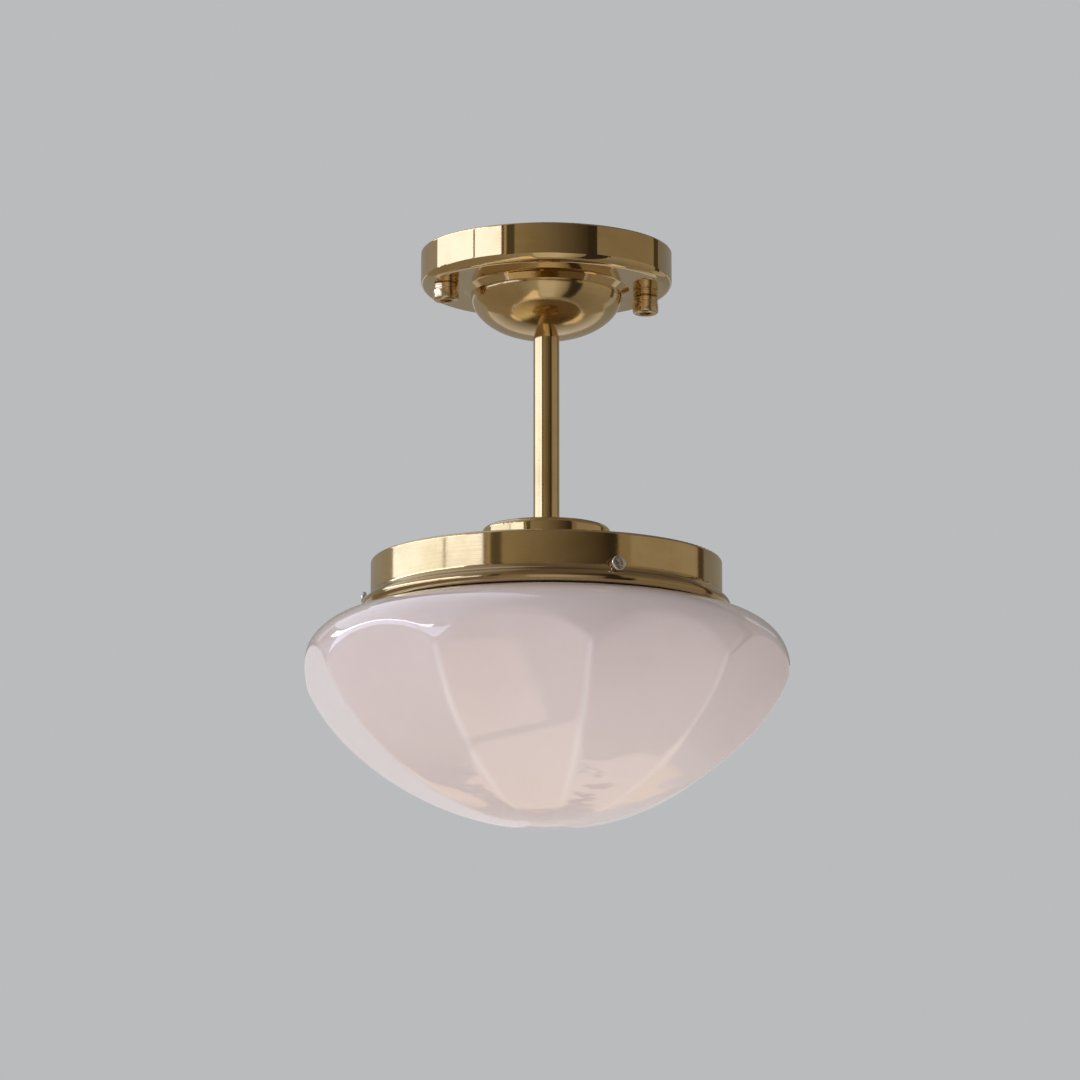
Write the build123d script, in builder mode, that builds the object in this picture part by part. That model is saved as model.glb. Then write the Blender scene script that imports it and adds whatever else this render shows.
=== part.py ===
from build123d import *

import os
from math import asin, cos, degrees, pi, radians, sin, sqrt

os.makedirs("parts", exist_ok=True)

# A short-stem ceiling light. Millimetres, +Z up.
# The origin is the centre of the canopy's rim, on the ceiling.
# Angles round the lamp start at -Y and grow towards +X.

# Clearances
thread_clearance = 0.05
hole_clearance = 0.2
running_gap = 0.3

# Canopy, with a low raised step in the middle of its face
canopy_radius = 60.0
canopy_height = 18.5
canopy_wall = 1.2
canopy_edge_radius = 4.0
canopy_rim_radius = 0.8
step_face_radius = 36.6
step_slope = 3.0
step_height = 2.4

# Dome under the canopy
dome_radius = 36.2
dome_depth = 21.2
dome_wall = 1.2

# Stem and its two threaded nipples
stem_radius = 6.2
stem_length = 92.8
stem_seat_rim = 1.0
nipple_radius = 5.0
nipple_bore_radius = 3.5
nipple_engagement = 14.0
nipple_nut_across_flats = 14.0
nipple_nut_thickness = 4.0
nipple_nut_projection = 1.0
nipple_washer_radius = 10.0
nipple_washer_thickness = 1.2

# Bracket on the ceiling, with a tab for the terminal block
bracket_end_gap = 3.3
bracket_width = 20.0
bracket_thickness = 2.0
bracket_corner_radius = 3.0
cable_hole_radius = 6.0
ceiling_slot_spacing = 60.0
ceiling_slot_length = 18.0
ceiling_slot_width = 4.6
tab_width = 34.0
tab_reach = 37.0

# Studs, their lock nuts, and the round nuts with collars that hold the canopy
stud_end_distance = 6.0
stud_radius = 2.0
stud_lock_across_flats = 7.0
stud_lock_thickness = 3.2
collar_radius = 5.9
collar_height = 2.7
cap_nut_radius = 6.15
cap_nut_height = 5.7
cap_nut_edge = 1.0
cap_nut_groove_depth = 0.5
cap_nut_groove_height = 0.6
cap_nut_recess_across_flats = 5.6
cap_nut_recess_depth = 2.2
stud_end_inset = 1.4

# Earth screw on the bracket, and the lugs of the earth lead
earth_screw_x = -13.5
earth_screw_radius = 2.0
earth_head_radius = 3.6
earth_head_height = 2.4
lug_thickness = 0.8
lug_tongue_width = 4.0
lug_rim = 2.4
lug_tongue_length = 8.0

# Terminal block under the tab
block_length = 30.0
block_width = 17.0
block_height = 11.0
block_centre_y = 28.0
pole_count = 3
pole_pitch = 9.0
pole_depth = 5.0
clamp_radius = 2.0
clamp_bore_radius = 1.4
clamp_length = 13.0
clamp_screw_radius = 1.4
clamp_screw_offset = 3.8
clamp_screw_inset = 0.6
block_screw_radius = 1.5
block_screw_head_radius = 2.6
block_screw_head_height = 2.0

# Leads
lead_radius = 1.0
lead_offset = 1.6
lead_entry_depth = 3.5
lead_bend_share = 0.45
lead_run_out = 4.5
lead_spread_drop = 1.5
lead_straight_drop = 6.5
earth_bow_start = 20.0
earth_bow_end = 29.0

# Fitter: one spun piece with a raised crown, a straight wall, and a lip that flares into a round bead
crown_radius = 30.4
crown_height = 16.3
crown_edge_radius = 2.4
fitter_radius = 83.2
fitter_wall_height = 15.5
fitter_edge_radius = 1.4
fitter_wall = 1.2
flare_reach = 2.9
flare_height = 3.8
bead_height = 5.3
bead_bulge = 1.0

# Side screws, their bushes in the fitter wall and their soft tips
screw_count = 3
first_screw_angle = 6.7
screw_drop = 15.7
screw_radius = 2.0
screw_head_radius = 3.5
screw_head_height = 2.0
screw_head_edge = 0.5
screw_neck_length = 3.4
recess_width = 1.0
recess_length = 4.4
recess_depth = 1.5
bush_radius = 4.0
bush_length = 2.0
tip_radius = 3.2
tip_length = 3.0
tip_end_wall = 1.2

# Glass shade: straight neck, round shoulder, ten flat panels and a round bottom
panel_count = 10
first_ridge_angle = -5.5
glass_wall = 3.0
neck_radius = 74.0
neck_top_gap = 4.0
shoulder_gap = 0.3
neck_root_radius = 2.5
shade_radius = 115.1
shoulder_depth = 29.3
shoulder_fullness = 2.38
panel_radius = 113.0
panel_drop = 17.6
panel_depth = 86.5
panel_fullness = 1.72
bottom_curve_radius = 140.0
bottom_lift = 1.6
bottom_radius = 50.0
shade_side_height = 45.0
profile_points = 7

# Lampholder
holder_radius = 19.5
holder_wall = 2.0
holder_boss_radius = 8.5
holder_boss_height = 8.0
holder_cap_height = 20.0
holder_cone_height = 9.0
holder_thread_length = 9.5
skirt_length = 36.0
insert_drop = 1.8
insert_thickness = 8.0
insert_radius = 16.2
terminal_offset = 9.0
terminal_angles = (-90, 90)
terminal_bore_depth = 4.0
holder_screw_radius = 1.2
holder_screw_inset = 0.3
shell_radius = 14.3
shell_wall = 0.5
shell_length = 24.0
contact_width = 6.0
contact_length = 16.0
contact_thickness = 0.6
contact_button_radius = 3.0
contact_button_height = 1.2

# Bulb
bulb_thread_radius = 13.1
bulb_thread_length = 20.0
bulb_insulator_height = 4.0
bulb_tip_radius = 4.6
bulb_tip_height = 1.0
bulb_spigot_length = 8.0
bulb_spigot_gap = 0.1
bulb_thread_wall = 0.5
bulb_body_length = 16.0
bulb_body_base_radius = 14.2
bulb_body_rim_radius = 21.0
bulb_globe_radius = 22.5
bulb_globe_wall = 1.2

# Heights, from the ceiling down
bracket_z = -bracket_thickness
canopy_face_z = -canopy_height
step_face_z = canopy_face_z - step_height
step_floor_z = step_face_z + canopy_wall
step_base_radius = step_face_radius + step_slope
stem_seat_radius = stem_radius + stem_seat_rim
stem_top_z = step_face_z - dome_depth * sqrt(1 - (stem_seat_radius / dome_radius) ** 2)
crown_z = stem_top_z - stem_length
crown_floor_z = crown_z - fitter_wall
fitter_top_z = crown_z - crown_height
flare_z = fitter_top_z - fitter_wall_height
bead_z = flare_z - flare_height
lip_z = bead_z - bead_height
screw_z = fitter_top_z - screw_drop

top_washer_z = step_floor_z + nipple_washer_thickness
top_lug_z = top_washer_z + lug_thickness
top_nut_z = top_lug_z + nipple_nut_thickness
top_nipple_z = top_nut_z + nipple_nut_projection
bottom_washer_z = crown_floor_z - nipple_washer_thickness
bottom_nut_z = bottom_washer_z - nipple_nut_thickness

holder_top_z = bottom_nut_z - running_gap
holder_joint_z = holder_top_z - holder_cap_height
bottom_nipple_z = holder_top_z - holder_thread_length
insert_top_z = holder_joint_z - insert_drop
insert_bottom_z = insert_top_z - insert_thickness
skirt_bottom_z = holder_joint_z - skirt_length
contact_z = insert_bottom_z - contact_thickness - contact_button_height

bulb_tip_z = contact_z - running_gap
bulb_thread_z = bulb_tip_z - bulb_tip_height - bulb_insulator_height
bulb_body_z = bulb_thread_z - bulb_thread_length
bulb_rim_z = bulb_body_z - bulb_body_length
bulb_globe_z = bulb_rim_z - sqrt(bulb_globe_radius**2 - bulb_body_rim_radius**2)

neck_top_z = fitter_top_z - fitter_wall - neck_top_gap
shoulder_top_z = lip_z - shoulder_gap
widest_z = shoulder_top_z - shoulder_depth
panel_top_z = shoulder_top_z - panel_drop


def outward(angle):
    """Unit vector away from the lamp's axis at an angle round the lamp."""
    return Vector(sin(radians(angle)), -cos(radians(angle)), 0)


def radial_plane(angle, distance, height):
    """Plane square to the radius at an angle, facing outward, at a distance from the axis."""
    direction = outward(angle)
    return Plane(origin=direction * distance + Vector(0, 0, height), x_dir=(0, 0, 1), z_dir=direction)


def upright_plane(angle):
    """Plane through the lamp's axis whose x runs outward at an angle and whose y is up."""
    direction = outward(angle)
    return Plane(origin=(0, 0, 0), x_dir=direction, z_dir=direction.cross(Vector(0, 0, 1)))


def finish(builder, name):
    """Label a finished piece and write it to its own file."""
    builder.part.label = name
    export_step(builder.part, f"parts/{name}.step")


def near(shapes, *point):
    """The vertex nearest to a point of a sketch."""
    return shapes.sort_by_distance(Vector(*point))[0]


def ring(bottom_z, height, radius, bore, centre=(0, 0)):
    """A round tube or washer standing on a height."""
    with BuildPart() as tube:
        with BuildSketch(Plane.XY.offset(bottom_z)):
            with Locations(centre):
                Circle(radius)
                Circle(bore, mode=Mode.SUBTRACT)
        extrude(amount=height)
    return tube


def hex_nuts(bottom_z, height, across_flats, bore, centres):
    """Plain hexagon nuts standing on a height, one at each centre."""
    with BuildPart() as nuts:
        with BuildSketch(Plane.XY.offset(bottom_z)):
            with Locations(*centres):
                RegularPolygon(across_flats / 2, 6, major_radius=False)
                Circle(bore, mode=Mode.SUBTRACT)
        extrude(amount=height)
    return nuts


def lead(points):
    """A round lead along straight runs joined by arcs as large as the runs allow."""
    runs = [(Vector(*b) - Vector(*a)) for a, b in zip(points, points[1:])]
    radii = []
    for before, after in zip(runs, runs[1:]):
        half_turn = radians(before.get_angle(after)) / 2
        radii.append(lead_bend_share * min(before.length, after.length) / sin(half_turn) * cos(half_turn))
    with BuildPart() as wire:
        with BuildLine() as path:
            FilletPolyline(*points, radius=radii)
        with BuildSketch(Plane(origin=points[0], z_dir=path.line % 0)):
            Circle(lead_radius)
        sweep()
    return wire


bracket_length = 2 * (canopy_radius - canopy_wall - bracket_end_gap)
stud_reach = bracket_length / 2 - stud_end_distance
stud_centres = [(-stud_reach, 0), (stud_reach, 0)]
screw_angles = [first_screw_angle + k * 360 / screw_count for k in range(screw_count)]

# Mounting bracket: bar with slots for the ceiling screws, tapped for studs, earth screw and block screw
block_screw_x = -pole_pitch / 2
with BuildPart() as mounting_bracket:
    with BuildSketch(Plane.XY.offset(bracket_z)):
        RectangleRounded(bracket_length, bracket_width, bracket_corner_radius)
        with Locations((0, tab_reach / 2)):
            RectangleRounded(tab_width, tab_reach, bracket_corner_radius)
        Circle(cable_hole_radius, mode=Mode.SUBTRACT)
        with GridLocations(ceiling_slot_spacing, 0, 2, 1):
            SlotOverall(ceiling_slot_length, ceiling_slot_width, mode=Mode.SUBTRACT)
        with Locations(*stud_centres):
            Circle(stud_radius + thread_clearance, mode=Mode.SUBTRACT)
        with Locations((earth_screw_x, 0)):
            Circle(earth_screw_radius + thread_clearance, mode=Mode.SUBTRACT)
        with Locations((block_screw_x, block_centre_y)):
            Circle(block_screw_radius + thread_clearance, mode=Mode.SUBTRACT)
    extrude(amount=bracket_thickness)
finish(mounting_bracket, "mounting_bracket")

# Studs screwed into the bracket, and the nuts that lock them
stud_end_z = canopy_face_z - collar_height - cap_nut_height + stud_end_inset
with BuildPart() as bracket_studs:
    with BuildSketch(Plane.XY.offset(stud_end_z)):
        with Locations(*stud_centres):
            Circle(stud_radius)
    extrude(amount=-stud_end_z)
finish(bracket_studs, "bracket_studs")

stud_locknuts = hex_nuts(
    bracket_z - stud_lock_thickness,
    stud_lock_thickness,
    stud_lock_across_flats,
    stud_radius + thread_clearance,
    stud_centres,
)
finish(stud_locknuts, "stud_locknuts")

# Canopy: spun drum, open towards the ceiling
with BuildPart() as canopy:
    with BuildSketch(Plane.XZ) as drum:
        with BuildLine():
            Polyline(
                (0, 0),
                (canopy_radius, 0),
                (canopy_radius, canopy_face_z),
                (step_base_radius, canopy_face_z),
                (step_face_radius, step_face_z),
                (0, step_face_z),
                close=True,
            )
        make_face()
        fillet(near(drum.vertices(), canopy_radius, canopy_face_z), canopy_edge_radius)
        fillet(near(drum.vertices(), canopy_radius, 0), canopy_rim_radius)
    revolve(axis=Axis.Z)
    with BuildSketch(Plane.XZ) as hollow:
        with BuildLine():
            Polyline(
                (0, 0),
                (canopy_radius - canopy_wall, 0),
                (canopy_radius - canopy_wall, canopy_face_z + canopy_wall),
                (step_base_radius - canopy_wall, canopy_face_z + canopy_wall),
                (step_face_radius - canopy_wall, step_floor_z),
                (0, step_floor_z),
                close=True,
            )
        make_face()
        inner_corner = near(hollow.vertices(), canopy_radius - canopy_wall, canopy_face_z + canopy_wall)
        fillet(inner_corner, canopy_edge_radius - canopy_wall)
    revolve(axis=Axis.Z, mode=Mode.SUBTRACT)
    with BuildSketch(Plane.XY.offset(step_face_z)):
        Circle(nipple_radius + hole_clearance)
        with Locations(*stud_centres):
            Circle(stud_radius + hole_clearance)
    extrude(amount=-step_face_z, mode=Mode.SUBTRACT)
finish(canopy, "canopy")

# Dome: a bowl, flattened where the stem's end seats
nipple_hole_radius = nipple_radius + hole_clearance
with BuildPart() as canopy_dome:
    with BuildSketch(Plane.XZ):
        with Locations((0, step_face_z)):
            Ellipse(dome_radius, dome_depth)
            Ellipse(dome_radius - dome_wall, dome_depth - dome_wall, mode=Mode.SUBTRACT)
        with Locations((nipple_hole_radius, step_face_z)):
            bowl_corner = (Align.MIN, Align.MAX)
            Rectangle(dome_radius, step_face_z - stem_top_z, align=bowl_corner, mode=Mode.INTERSECT)
    revolve(axis=Axis.Z)
finish(canopy_dome, "canopy_dome")

# Stem with its nipples, washers and lock nuts
stem_tube = ring(crown_z, stem_length, stem_radius, nipple_radius + thread_clearance)
finish(stem_tube, "stem_tube")

top_nipple_foot_z = stem_top_z - nipple_engagement
top_nipple = ring(top_nipple_foot_z, top_nipple_z - top_nipple_foot_z, nipple_radius, nipple_bore_radius)
finish(top_nipple, "top_nipple")

top_washer = ring(step_floor_z, nipple_washer_thickness, nipple_washer_radius, nipple_hole_radius)
finish(top_washer, "top_washer")

nut_bore_radius = nipple_radius + thread_clearance
top_locknut = hex_nuts(
    top_lug_z, nipple_nut_thickness, nipple_nut_across_flats, nut_bore_radius, [(0, 0)]
)
finish(top_locknut, "top_locknut")

bottom_nipple_length = crown_z + nipple_engagement - bottom_nipple_z
bottom_nipple = ring(bottom_nipple_z, bottom_nipple_length, nipple_radius, nipple_bore_radius)
finish(bottom_nipple, "bottom_nipple")

bottom_washer = ring(bottom_washer_z, nipple_washer_thickness, nipple_washer_radius, nipple_hole_radius)
finish(bottom_washer, "bottom_washer")

bottom_locknut = hex_nuts(
    bottom_nut_z, nipple_nut_thickness, nipple_nut_across_flats, nut_bore_radius, [(0, 0)]
)
finish(bottom_locknut, "bottom_locknut")

# Round nuts of the canopy: a collar against the face, and under it the nut with a groove and a recess
for side, (stud_x, stud_y) in zip(("left", "right"), stud_centres):
    collar_z = canopy_face_z - collar_height
    nut_z = collar_z - cap_nut_height
    collar = ring(collar_z, collar_height, collar_radius, stud_radius + thread_clearance, (stud_x, stud_y))
    finish(collar, f"nut_collar_{side}")

    with BuildPart() as canopy_nut:
        with BuildSketch(Plane.XY.offset(nut_z)):
            with Locations((stud_x, stud_y)):
                Circle(cap_nut_radius)
        extrude(amount=cap_nut_height)
        chamfer(canopy_nut.edges().filter_by(GeomType.CIRCLE).sort_by(Axis.Z)[0], cap_nut_edge)
        with BuildSketch(Plane.XY.offset(collar_z - cap_nut_groove_height)):
            with Locations((stud_x, stud_y)):
                Circle(cap_nut_radius)
                Circle(cap_nut_radius - cap_nut_groove_depth, mode=Mode.SUBTRACT)
        extrude(amount=cap_nut_groove_height, mode=Mode.SUBTRACT)
        with BuildSketch(Plane.XY.offset(nut_z)):
            with Locations((stud_x, stud_y)):
                RegularPolygon(cap_nut_recess_across_flats / 2, 6, major_radius=False)
        extrude(amount=cap_nut_recess_depth, mode=Mode.SUBTRACT)
        with BuildSketch(Plane.XY.offset(nut_z)):
            with Locations((stud_x, stud_y)):
                Circle(stud_radius + thread_clearance)
        extrude(amount=cap_nut_height, mode=Mode.SUBTRACT)
    finish(canopy_nut, f"canopy_nut_{side}")

# Earth screw in the bracket, with the upper lug of the earth lead under its head
upper_lug_z = bracket_z - lug_thickness
with BuildPart() as earth_screw:
    with BuildSketch(Plane.XY.offset(upper_lug_z)):
        with Locations((earth_screw_x, 0)):
            Circle(earth_screw_radius)
    extrude(amount=-upper_lug_z)
    with BuildSketch(Plane.XY.offset(upper_lug_z - earth_head_height)):
        with Locations((earth_screw_x, 0)):
            Circle(earth_head_radius)
    extrude(amount=earth_head_height)
finish(earth_screw, "earth_screw")

# Two lugs, one on the earth screw and one on the top nipple, each a ring with a tongue towards -Y
with BuildPart() as earth_lugs:
    for lug_x, bottom_z, bolt_radius in (
        (earth_screw_x, upper_lug_z, earth_screw_radius),
        (0, top_washer_z, nipple_radius),
    ):
        lug_radius = bolt_radius + hole_clearance + lug_rim
        with BuildSketch(Plane.XY.offset(bottom_z)):
            with Locations((lug_x, 0)):
                Circle(lug_radius)
                tongue_end = (Align.CENTER, Align.MAX)
                Rectangle(lug_tongue_width, lug_radius + lug_tongue_length, align=tongue_end)
                Circle(bolt_radius + hole_clearance, mode=Mode.SUBTRACT)
        extrude(amount=lug_thickness)
finish(earth_lugs, "earth_lugs")

# Earth lead from tongue to tongue, hanging in a loose bow
upper_tongue_y = -(earth_screw_radius + hole_clearance + lug_rim)
lower_tongue_y = -(nipple_radius + hole_clearance + lug_rim)
earth_upper_z = upper_lug_z - lead_radius
earth_lower_z = top_lug_z + lead_radius
earth_lead = lead(
    [
        (earth_screw_x, upper_tongue_y - 2 * lead_radius, earth_upper_z),
        (earth_screw_x, -earth_bow_start, earth_upper_z),
        (earth_screw_x / 2, -earth_bow_end, (earth_upper_z + earth_lower_z) / 2),
        (0, -earth_bow_start, earth_lower_z),
        (0, lower_tongue_y - lead_radius, earth_lower_z),
    ]
)
finish(earth_lead, "earth_lead")

# Terminal block: three poles across it, clamp screws from below, one screw into the tab
block_front_y = block_centre_y - block_width / 2
block_bottom_z = bracket_z - block_height
pole_z = bracket_z - pole_depth
pole_centres = [(pole - (pole_count - 1) / 2) * pole_pitch for pole in range(pole_count)]
clamp_screw_points = [
    (pole_x, block_centre_y + row * clamp_screw_offset) for pole_x in pole_centres for row in (-1, 1)
]
with BuildPart() as terminal_block:
    with BuildSketch(Plane.XY.offset(block_bottom_z)):
        with Locations((0, block_centre_y)):
            Rectangle(block_length, block_width)
    extrude(amount=block_height)
    with BuildSketch(Plane.XZ.offset(-block_front_y)):
        with Locations(*[(pole_x, pole_z) for pole_x in pole_centres]):
            Circle(clamp_radius + thread_clearance)
    extrude(amount=-block_width, mode=Mode.SUBTRACT)
    with BuildSketch(Plane.XY.offset(block_bottom_z)):
        with Locations(*clamp_screw_points):
            Circle(clamp_screw_radius + hole_clearance)
    extrude(amount=pole_z - block_bottom_z, mode=Mode.SUBTRACT)
    with BuildSketch(Plane.XY.offset(block_bottom_z)):
        with Locations((block_screw_x, block_centre_y)):
            Circle(block_screw_radius + hole_clearance)
    extrude(amount=block_height, mode=Mode.SUBTRACT)
    with BuildSketch(Plane.XY.offset(block_bottom_z)):
        with Locations((block_screw_x, block_centre_y)):
            Circle(block_screw_head_radius + hole_clearance)
    extrude(amount=block_screw_head_height, mode=Mode.SUBTRACT)
finish(terminal_block, "terminal_block")

clamp_front_y = block_centre_y - clamp_length / 2
with BuildPart() as terminal_clamps:
    with BuildSketch(Plane.XZ.offset(-clamp_front_y)):
        with Locations(*[(pole_x, pole_z) for pole_x in pole_centres]):
            Circle(clamp_radius)
            Circle(clamp_bore_radius, mode=Mode.SUBTRACT)
    extrude(amount=-clamp_length)
    with BuildSketch(Plane.XY.offset(block_bottom_z)):
        with Locations(*clamp_screw_points):
            Circle(clamp_screw_radius + thread_clearance)
    extrude(amount=pole_z - block_bottom_z, mode=Mode.SUBTRACT)
finish(terminal_clamps, "terminal_clamps")

clamp_screw_top_z = pole_z - lead_radius - thread_clearance
clamp_screw_z = block_bottom_z + clamp_screw_inset
with BuildPart() as clamp_screws:
    with BuildSketch(Plane.XY.offset(clamp_screw_z)):
        with Locations(*clamp_screw_points):
            Circle(clamp_screw_radius)
    extrude(amount=clamp_screw_top_z - clamp_screw_z)
finish(clamp_screws, "clamp_screws")

with BuildPart() as block_screw:
    with BuildSketch(Plane.XY.offset(block_bottom_z)):
        with Locations((block_screw_x, block_centre_y)):
            Circle(block_screw_head_radius)
    extrude(amount=block_screw_head_height)
    with BuildSketch(Plane.XY.offset(block_bottom_z)):
        with Locations((block_screw_x, block_centre_y)):
            Circle(block_screw_radius)
    extrude(amount=-block_bottom_z)
finish(block_screw, "block_screw")

# Live and neutral leads: out of the block, down the stem, to the two terminals of the lampholder
lead_turn_y = block_front_y - lead_run_out
lead_spread_z = bottom_nipple_z - lead_spread_drop
lead_drop_z = insert_top_z + lead_straight_drop
for name, side in (("live_lead", -1), ("neutral_lead", 1)):
    supply_lead = lead(
        [
            (side * pole_pitch, block_front_y + lead_entry_depth, pole_z),
            (side * pole_pitch, lead_turn_y, pole_z),
            (side * lead_offset, 0, pole_z),
            (side * lead_offset, 0, lead_spread_z),
            (side * terminal_offset, 0, lead_drop_z),
            (side * terminal_offset, 0, insert_top_z - lead_entry_depth),
        ]
    )
    finish(supply_lead, name)

# Fitter
fitter_inner_radius = fitter_radius - fitter_wall
crown_inner_radius = crown_radius - fitter_wall
plate_floor_z = fitter_top_z - fitter_wall
bead_radius = fitter_radius + flare_reach
bead_inner_radius = bead_radius - fitter_wall
with BuildPart() as fitter_hollow:
    with BuildSketch(Plane.XZ) as inside:
        with BuildLine():
            Polyline(
                (bead_inner_radius, lip_z),
                (0, lip_z),
                (0, crown_floor_z),
                (crown_inner_radius, crown_floor_z),
                (crown_inner_radius, plate_floor_z),
                (fitter_inner_radius, plate_floor_z),
                (fitter_inner_radius, flare_z - fitter_wall),
            )
            flare_end = (bead_inner_radius, bead_z - fitter_wall)
            TangentArc((fitter_inner_radius, flare_z - fitter_wall), flare_end, tangent=(0, -1))
            Line(flare_end, (bead_inner_radius, lip_z))
        make_face()
        fillet(near(inside.vertices(), crown_inner_radius, crown_floor_z), crown_edge_radius - fitter_wall)
    revolve(axis=Axis.Z)

with BuildPart() as fitter:
    with BuildSketch(Plane.XZ) as outside:
        with BuildLine():
            Polyline(
                (bead_radius, lip_z),
                (0, lip_z),
                (0, crown_z),
                (crown_radius, crown_z),
                (crown_radius, fitter_top_z),
                (fitter_radius, fitter_top_z),
                (fitter_radius, flare_z),
            )
            TangentArc((fitter_radius, flare_z), (bead_radius, bead_z), tangent=(0, -1))
            bead_middle = (bead_radius + bead_bulge, (bead_z + lip_z) / 2)
            ThreePointArc((bead_radius, bead_z), bead_middle, (bead_radius, lip_z))
        make_face()
        fillet(near(outside.vertices(), crown_radius, crown_z), crown_edge_radius)
        fillet(near(outside.vertices(), fitter_radius, fitter_top_z), fitter_edge_radius)
    revolve(axis=Axis.Z)
    add(fitter_hollow.part, mode=Mode.SUBTRACT)
    with BuildSketch(Plane.XY.offset(crown_floor_z)):
        Circle(nipple_hole_radius)
    extrude(amount=fitter_wall, mode=Mode.SUBTRACT)
    for angle in screw_angles:
        with BuildSketch(radial_plane(angle, neck_radius, screw_z)):
            Circle(screw_radius + hole_clearance)
        extrude(amount=bead_radius - neck_radius, mode=Mode.SUBTRACT)
finish(fitter, "fitter")

# Threaded bushes on the inside of the fitter wall, their outer ends shaped to it
bush_face_radius = fitter_inner_radius - bush_length
with BuildPart() as screw_bushes:
    for angle in screw_angles:
        with BuildSketch(radial_plane(angle, bush_face_radius, screw_z)):
            Circle(bush_radius)
            Circle(screw_radius + thread_clearance, mode=Mode.SUBTRACT)
        extrude(amount=bush_length + flare_reach)
    add(fitter_hollow.part, mode=Mode.INTERSECT)
finish(screw_bushes, "screw_bushes")

# Side screws with a cross recess, and the soft tips on their ends
tip_face_radius = neck_radius + running_gap
screw_end_radius = tip_face_radius + tip_end_wall
screw_head_seat = fitter_radius + screw_neck_length
screw_face_radius = screw_head_seat + screw_head_height
for number, angle in enumerate(screw_angles, start=1):
    with BuildPart() as side_screw:
        with BuildSketch(radial_plane(angle, screw_end_radius, screw_z)):
            Circle(screw_radius)
        extrude(amount=screw_head_seat - screw_end_radius)
        with BuildSketch(radial_plane(angle, screw_head_seat, screw_z)):
            Circle(screw_head_radius)
        extrude(amount=screw_head_height)
        head_edges = side_screw.edges().filter_by(GeomType.CIRCLE).sort_by(Axis((0, 0, 0), outward(angle)))
        fillet(head_edges[-1], screw_head_edge)
        with BuildSketch(radial_plane(angle, screw_face_radius, screw_z)):
            Rectangle(recess_length, recess_width)
            Rectangle(recess_width, recess_length)
        extrude(amount=-recess_depth, mode=Mode.SUBTRACT)
    finish(side_screw, f"side_screw_{number}")

    with BuildPart() as screw_tip:
        with BuildSketch(radial_plane(angle, tip_face_radius, screw_z)):
            Circle(tip_radius)
        extrude(amount=tip_length)
        with BuildSketch(radial_plane(angle, screw_end_radius, screw_z)):
            Circle(screw_radius + thread_clearance)
        extrude(amount=tip_length, mode=Mode.SUBTRACT)
    finish(screw_tip, f"screw_tip_{number}")


def quarter_curve(width, height, fullness):
    """Points of a quarter of a superellipse, from its end on x to its end on y."""
    steps = [k * pi / 2 / (profile_points - 1) for k in range(profile_points)]
    curve = [(width * max(cos(u), 0) ** (2 / fullness), height * sin(u) ** (2 / fullness)) for u in steps]
    return curve[:-1] + [(0, height)]


def panelled_bowl(inset, top_z):
    """The shade's outer form, or the same form drawn in by the wall, up to a height."""
    throat = neck_radius - inset
    belly = shade_radius - inset
    shoulder_z = shoulder_top_z - inset
    curve_centre_z = panel_top_z - panel_depth + bottom_lift + bottom_curve_radius
    curve_radius = bottom_curve_radius - inset
    bottom_z = curve_centre_z - curve_radius
    rim_angle = degrees(asin(bottom_radius / curve_radius))
    rim_z = curve_centre_z - sqrt(curve_radius**2 - bottom_radius**2)
    side_z = widest_z - shade_side_height
    shoulder = [
        (throat + x, widest_z + y)
        for x, y in reversed(quarter_curve(belly - throat, shoulder_z - widest_z, shoulder_fullness))
    ]
    panel = [
        (x, panel_top_z - y)
        for x, y in quarter_curve(panel_radius - inset, panel_depth - inset, panel_fullness)
    ]
    reach = 2 * shade_radius
    with BuildPart() as bowl:
        with BuildSketch(Plane.XZ) as round_form:
            with BuildLine():
                Polyline((0, bottom_z), (0, top_z), (throat, top_z), (throat, shoulder_z))
                Spline(*shoulder, tangents=((1, 0), (0, -1)))
                Polyline((belly, widest_z), (belly, side_z), (bottom_radius, rim_z))
                CenterArc((0, curve_centre_z), curve_radius, 270, rim_angle)
            make_face()
            fillet(near(round_form.vertices(), throat, shoulder_z), neck_root_radius)
        revolve(axis=Axis.Z)
        for k in range(panel_count):
            with BuildSketch(upright_plane(first_ridge_angle + (k + 0.5) * 360 / panel_count)):
                with BuildLine():
                    Spline(*panel, tangents=((0, -1), (-1, 0)))
                    Polyline(
                        panel[-1],
                        (-reach, panel[-1][1]),
                        (-reach, top_z),
                        (panel[0][0], top_z),
                        panel[0],
                    )
                make_face()
            extrude(amount=reach, both=True, mode=Mode.INTERSECT)
    return bowl.part


outer_glass = panelled_bowl(0, neck_top_z)
inner_glass = panelled_bowl(glass_wall, neck_top_z + glass_wall)
with BuildPart() as glass_shade:
    add(outer_glass)
    add(inner_glass, mode=Mode.SUBTRACT)
finish(glass_shade, "glass_shade")

# Lampholder: cap on the nipple, skirt, insert with terminals, threaded shell and centre contact
boss_foot_z = holder_top_z - holder_boss_height
cone_foot_z = boss_foot_z - holder_cone_height
with BuildPart() as lampholder_cap:
    with BuildSketch(Plane.XZ):
        with BuildLine():
            Polyline(
                (nut_bore_radius, holder_top_z),
                (holder_boss_radius, holder_top_z),
                (holder_boss_radius, boss_foot_z),
                (holder_radius, cone_foot_z),
                (holder_radius, holder_joint_z),
                (holder_radius - holder_wall, holder_joint_z),
                (holder_radius - holder_wall, cone_foot_z),
                (holder_boss_radius, boss_foot_z - holder_wall),
                (nut_bore_radius, boss_foot_z - holder_wall),
                close=True,
            )
        make_face()
    revolve(axis=Axis.Z)
finish(lampholder_cap, "lampholder_cap")

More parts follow.
